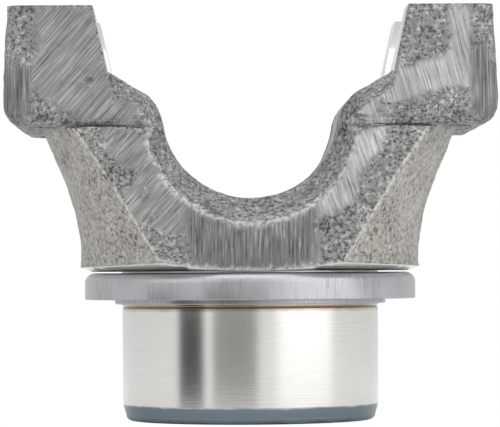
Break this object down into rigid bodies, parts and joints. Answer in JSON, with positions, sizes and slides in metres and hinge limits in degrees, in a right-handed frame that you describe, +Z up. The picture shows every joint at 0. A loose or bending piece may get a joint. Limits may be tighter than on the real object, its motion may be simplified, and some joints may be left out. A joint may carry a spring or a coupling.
{
  "type": "forged yoke",
  "caption": "Forged steel end yoke with a splined hub, round base, two ears with half-round bearing saddles, and a pressed-on stamped dust slinger.",
  "frame": {"origin": "centre of the hub's end face, on the hub's axis", "axes": "+Z up the hub's axis towards the ears; X from ear to ear, along the saddles; Y through the throat"},
  "size_m": [0.1542, 0.1068, 0.1305],
  "materials": {
    "forged_steel": "as-forged grey scale with ground and machined faces",
    "stamped_steel": "satin stamped sheet"
  },
  "bodies": {
    "root": {"forged_yoke": "forged_steel", "dust_slinger": "stamped_steel"}
  },
  "joints": []
}
